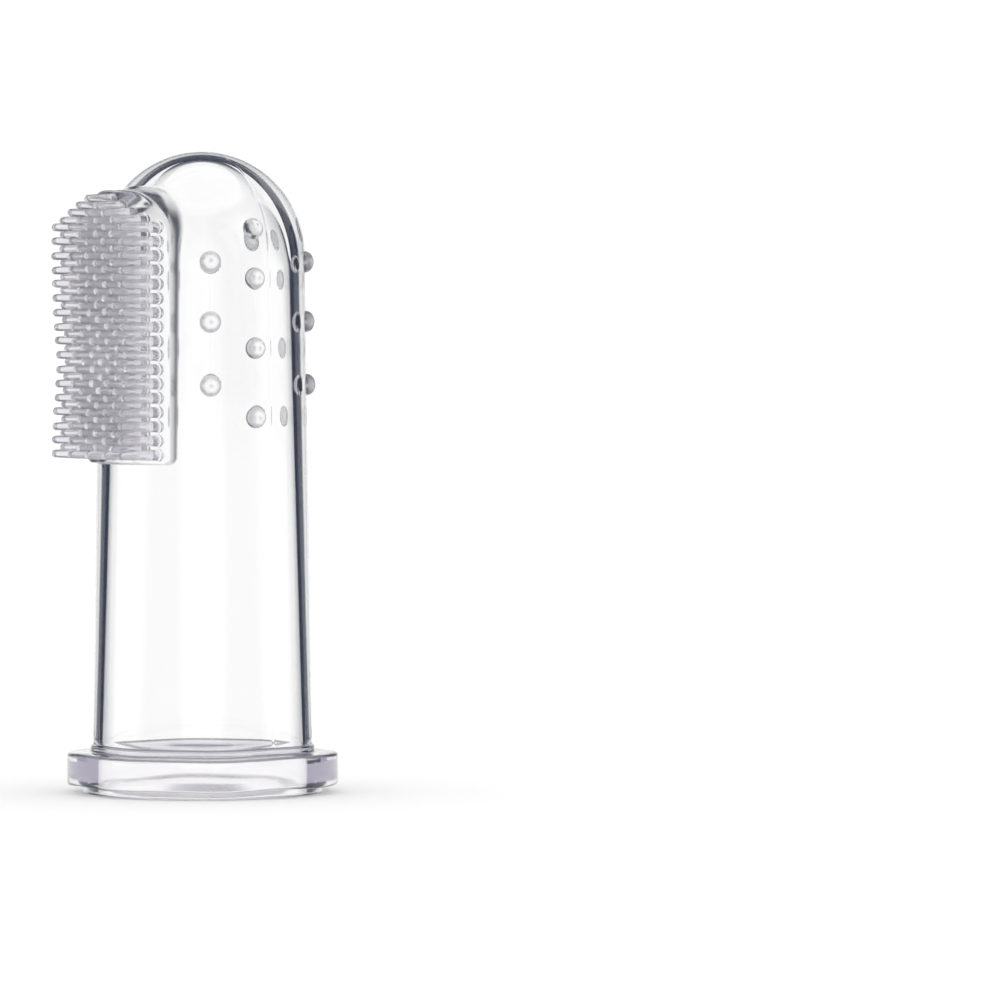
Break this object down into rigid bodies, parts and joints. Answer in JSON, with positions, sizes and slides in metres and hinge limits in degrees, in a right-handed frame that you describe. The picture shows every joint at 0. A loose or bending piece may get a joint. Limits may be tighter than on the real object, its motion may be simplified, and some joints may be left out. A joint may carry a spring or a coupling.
{
  "type": "finger toothbrush for pets",
  "caption": "Clear silicone fingertip sleeve with a rolled collar, a raised pad of tapered bristles and small round nubs, for brushing a pet's teeth.",
  "frame": {"origin": "centre of the mouth, on the plane of the collar's rim", "axes": "+Z along the sleeve, from the mouth to the domed tip; the bristles point along -Y"},
  "size_m": [0.0242, 0.0254, 0.057],
  "materials": {
    "clear_silicone": "glossy"
  },
  "bodies": {
    "root": {"finger_sleeve": "clear_silicone", "domed_tip": "clear_silicone", "mouth_collar": "clear_silicone", "brush_pad": "clear_silicone", "bristle_row_01": "clear_silicone", "bristle_row_02": "clear_silicone", "bristle_row_03": "clear_silicone", "bristle_row_04": "clear_silicone", "bristle_row_05": "clear_silicone", "bristle_row_06": "clear_silicone", "bristle_row_07": "clear_silicone", "bristle_row_08": "clear_silicone", "bristle_row_09": "clear_silicone", "bristle_row_10": "clear_silicone", "bristle_row_11": "clear_silicone", "bristle_row_12": "clear_silicone", "bristle_row_13": "clear_silicone", "bristle_row_14": "clear_silicone", "bristle_row_15": "clear_silicone", "bristle_row_16": "clear_silicone", "bristle_row_17": "clear_silicone", "bristle_crown": "clear_silicone", "nubs_short_front_right": "clear_silicone", "nubs_short_front_left": "clear_silicone", "nubs_short_back_right": "clear_silicone", "nubs_short_back_left": "clear_silicone", "nubs_long_front_right": "clear_silicone", "nubs_long_front_left": "clear_silicone", "nubs_long_back_right": "clear_silicone", "nubs_long_back_left": "clear_silicone"}
  },
  "joints": []
}
